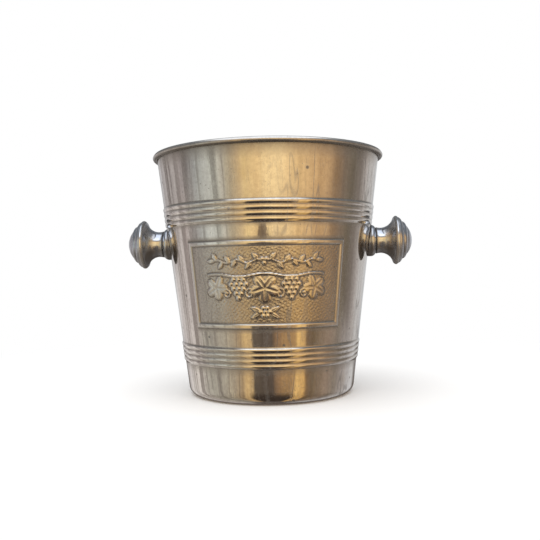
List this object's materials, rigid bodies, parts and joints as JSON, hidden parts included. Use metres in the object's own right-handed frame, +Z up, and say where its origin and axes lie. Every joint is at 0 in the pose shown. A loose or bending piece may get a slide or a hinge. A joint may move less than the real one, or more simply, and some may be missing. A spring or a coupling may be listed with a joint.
{
  "type": "champagne bucket",
  "caption": "Tapered metal wine cooler with a wired rim, reeded bands, a framed relief panel and a turned knob handle on each side.",
  "frame": {"origin": "centre of the base, on the plane that the bucket stands on", "axes": "+Z up; the framed panel faces -Y; the two knob handles lie along X"},
  "size_m": [0.2496, 0.2002, 0.206],
  "materials": {
    "silver_plate": "silver plate on brass, polished, with fine wear and warm tarnish",
    "bare_brass": "bare brass, dull",
    "nickel_plate": "nickel-plated steel, polished",
    "fibre": "vulcanised fibre, matte",
    "rubber_seal": "black rubber, matte"
  },
  "bodies": {
    "root": {"bucket_body": "silver_plate", "rim_wire": "bare_brass", "right_knob_spool": "silver_plate", "right_knob_cap": "silver_plate", "right_stud": "bare_brass", "right_collar_gasket": "fibre", "right_inner_gasket": "rubber_seal", "right_washer": "nickel_plate", "right_dome_nut": "nickel_plate", "left_knob_spool": "silver_plate", "left_knob_cap": "silver_plate", "left_stud": "bare_brass", "left_collar_gasket": "fibre", "left_inner_gasket": "rubber_seal", "left_washer": "nickel_plate", "left_dome_nut": "nickel_plate"}
  },
  "joints": []
}
